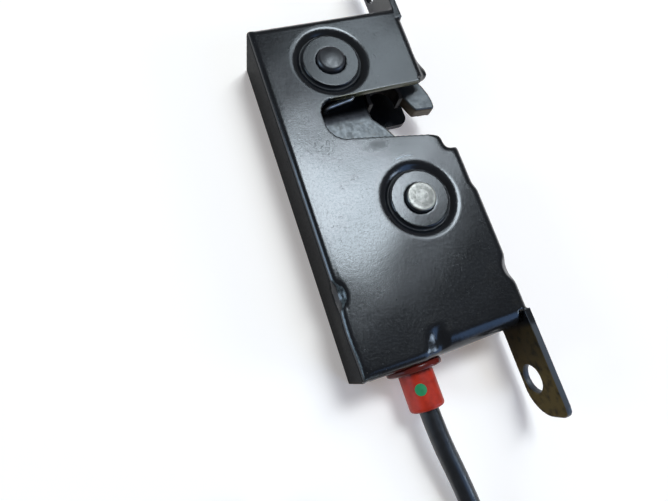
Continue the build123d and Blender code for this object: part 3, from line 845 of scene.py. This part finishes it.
def make_materials():
    coat = black_coat("black_coat")
    # Painted shade: the left wall's copy of the coat, its base darkened to 0.3, duller and less glossy.
    shaded_wall_coat = black_coat("shaded_wall_coat", 0.05, 0.36, 0.3)
    # The edge colour serves the stains and the painted brown reflection on the sides.
    catch = dull_steel("catch_steel", (0.058, 0.061, 0.063), (0.070, 0.050, 0.029), 0.42)
    spring = plain_metal("spring_steel", (0.40, 0.39, 0.37), (0.25, 0.24, 0.22), 0.42)
    zinc = plain_metal("cast_zinc", (0.45, 0.45, 0.46), (0.34, 0.34, 0.35), 0.42)
    cable = cable_skin("cable_cover")
    black = plain_plastic("black_plastic", (0.024, 0.020, 0.017), (0.036, 0.030, 0.026), 0.42)
    pin_coat = plain_plastic("pin_coat", (0.008, 0.008, 0.010), (0.012, 0.012, 0.014), 0.36, 0.005)
    green = plain_plastic("green_paint", (0.004, 0.22, 0.070), (0.003, 0.16, 0.05), 0.55)
    natural = plain_plastic("natural_plastic", (0.62, 0.57, 0.45), (0.5, 0.45, 0.34), 0.4)
    rubber = plain_plastic("buffer_rubber", (0.013, 0.013, 0.013), (0.02, 0.02, 0.02), 0.7)
    return {
        "housing_cover": coat,
        "cover_walls": shaded_wall_coat,
        "back_plate": coat,
        "catch": catch,
        "pawl": catch,
        "catch_liner": black,
        "catch_pin": pin_coat,
        "pawl_pin": worn_pin("worn_pin"),
        "catch_bush": natural,
        "pawl_bush": natural,
        "catch_spring": spring,
        "pawl_spring": spring,
        "striker_buffer": rubber,
        "cable_ferrule": ferrule_red("red_plastic"),
        "ferrule_mark": green,
        "inner_wire": spring,
        "wire_nipple": zinc,
        "coil_tie": black,
        "far_ferrule": black,
        "far_wire": spring,
        "far_nipple": zinc,
        "release_cable": cable,
    }


def paint(obj, material):
    for i in range(max(1, len(obj.material_slots))):
        if obj.material_slots:
            obj.material_slots[i].material = material
        else:
            obj.data.materials.append(material)


def coat_and_shade_walls(cover, material):
    """Duller coat with painted shade, a darker base, on the outer left wall and on the tab's inner face."""
    mesh = cover.data
    mesh.materials.append(material)
    for face in mesh.polygons:
        faces_left = face.normal.x < -0.93
        wall = face.center.x < (left_x + 0.5) * mm
        tab = face.center.y < (bottom_y + 2.0) * mm and face.center.x < tab_inner_x * mm
        if faces_left and (wall or tab):
            face.material_index = 1


def ray_kinds(tree, *names):
    """1 for light rays of any of these kinds, else 0."""
    path = tree.nodes.new("ShaderNodeLightPath")
    total = path.outputs[names[0]]
    for name in names[1:]:
        step = tree.nodes.new("ShaderNodeMath")
        step.operation = "MAXIMUM"
        tree.links.new(total, step.inputs[0])
        tree.links.new(path.outputs[name], step.inputs[1])
        total = step.outputs["Value"]
    return total


def make_stage():
    """Pale floor that fills the view, lifted to white far from the object."""
    mesh = bpy.data.meshes.new("floor")
    corners = [(-1, -1), (1, -1), (1, 1), (-1, 1)]
    mesh.from_pydata([(x * floor_reach, y * floor_reach, -floor_gap) for x, y in corners], [], [(0, 1, 2, 3)])
    floor = bpy.data.objects.new("floor", mesh)
    bpy.context.collection.objects.link(floor)
    s = Shader("floor", **{"Roughness": 0.9, "Specular IOR Level": 0.1})
    s.shader.inputs["Base Color"].default_value = (0.95, 0.87, 0.80, 1)
    s.shader.inputs["Emission Color"].default_value = (1.0, 0.88, 0.80, 1)
    shown = ray_kinds(s.tree, "Is Camera Ray", "Is Glossy Ray", "Is Transmission Ray")
    lift = s.ramp(s.distance(0, 0), 0.4, 2.0, floor_lift, far_light)
    s.tree.links.new(s.math("MULTIPLY", shown, lift), s.shader.inputs["Emission Strength"])
    mesh.materials.append(s.material)


def area_lamp(name, way, size, radiance, colour):
    """Rectangular lamp in a direction from the object's middle, its size seen as an angle."""
    way = Vector(way).normalized()
    data = bpy.data.lights.new(name, "AREA")
    data.shape = "RECTANGLE"
    data.size, data.size_y = (lamp_distance * part for part in size)
    data.energy = radiance * pi * data.size * data.size_y
    data.color = colour
    lamp = bpy.data.objects.new(name, data)
    bpy.context.collection.objects.link(lamp)
    turn = (-way).to_track_quat("-Z", "Y").to_matrix().to_4x4()
    lamp.matrix_world = Matrix.Translation(Vector(lamp_target) + way * lamp_distance) @ turn


def make_world():
    """Dim room; seen directly, and mirrored near the horizon, it is as white as the floor's far end."""
    world = bpy.data.worlds.new("world")
    bpy.context.scene.world = world
    world.use_nodes = True
    tree = world.node_tree
    up = tree.nodes.new("ShaderNodeSeparateXYZ")
    tree.links.new(tree.nodes.new("ShaderNodeTexCoord").outputs["Generated"], up.inputs["Vector"])
    low = tree.nodes.new("ShaderNodeMapRange")
    low.inputs["From Min"].default_value, low.inputs["From Max"].default_value = horizon
    tree.links.new(up.outputs["Z"], low.inputs["Value"])
    mirrored = tree.nodes.new("ShaderNodeMath")
    mirrored.operation = "MULTIPLY"
    tree.links.new(ray_kinds(tree, "Is Glossy Ray", "Is Transmission Ray"), mirrored.inputs[0])
    tree.links.new(low.outputs["Result"], mirrored.inputs[1])
    white = tree.nodes.new("ShaderNodeMath")
    white.operation = "MAXIMUM"
    tree.links.new(ray_kinds(tree, "Is Camera Ray"), white.inputs[0])
    tree.links.new(mirrored.outputs["Value"], white.inputs[1])
    strength = tree.nodes.new("ShaderNodeMapRange")
    strength.inputs["To Min"].default_value = room_light
    strength.inputs["To Max"].default_value = 1.0
    tree.links.new(white.outputs["Value"], strength.inputs["Value"])
    tree.links.new(strength.outputs["Result"], tree.nodes["Background"].inputs["Strength"])
    tree.nodes["Background"].inputs["Color"].default_value = (1.0, 1.0, 1.0, 1)


def make_light():
    """Window overhead with dimmer panes beside it, and cool low light from the right, front and left."""
    make_world()
    area_lamp("window", (0.235, 0.295, 0.926), (0.32, 0.25), 25.0, (0.80, 0.91, 1.0))
    area_lamp("side_pane", (0.47, 0.33, 0.819), (0.14, 0.26), 10.0, (0.80, 0.91, 1.0))
    area_lamp("top_pane", (0.38, 0.52, 0.765), (0.22, 0.16), 6.5, (0.76, 0.90, 1.0))
    area_lamp("low_window", (0.782, -0.456, 0.429), (0.26, 0.22), 12.0, (0.60, 0.77, 1.0))
    area_lamp("blue_sky", (0.56, -0.68, 0.47), (0.36, 0.95), 2.0, (0.26, 0.50, 1.0))
    area_lamp("left_strip", (-0.94, 0.17, 0.27), (0.50, 0.52), 7.0, (0.55, 0.76, 1.0))
    bpy.context.scene.view_settings.view_transform = "Standard"


def dress():
    """Each piece with its material."""
    materials = make_materials()
    pieces = {
        "release_cable": make_cable(),
        "housing_cover": make_cover(),
        "catch": make_lever("catch", "steel_catch", "catch"),
        "pawl": make_lever("pawl", "steel_pawl", "pawl"),
        "catch_pin": make_pin("catch_pin", "domed_pin", catch_x, catch_y, crown=0.35, edge=1.0),
        "pawl_pin": make_pin("pawl_pin", "worn_rivet", 0.0, 0.0, crown=0.12, edge=0.35),
        "inner_wire": make_wire("inner_wire", "stranded_wire", "release_wire", (0, 1, 0)),
        "far_wire": make_wire("far_wire", "far_strands", "far_end", far_way),
    }
    for name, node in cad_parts.items():
        if name in materials and name not in pieces:
            paint(node, materials[name])
    for name, piece in pieces.items():
        paint(piece, materials[name])
    coat_and_shade_walls(pieces["housing_cover"], materials["cover_walls"])


make_camera()
dress()
make_stage()
make_light()
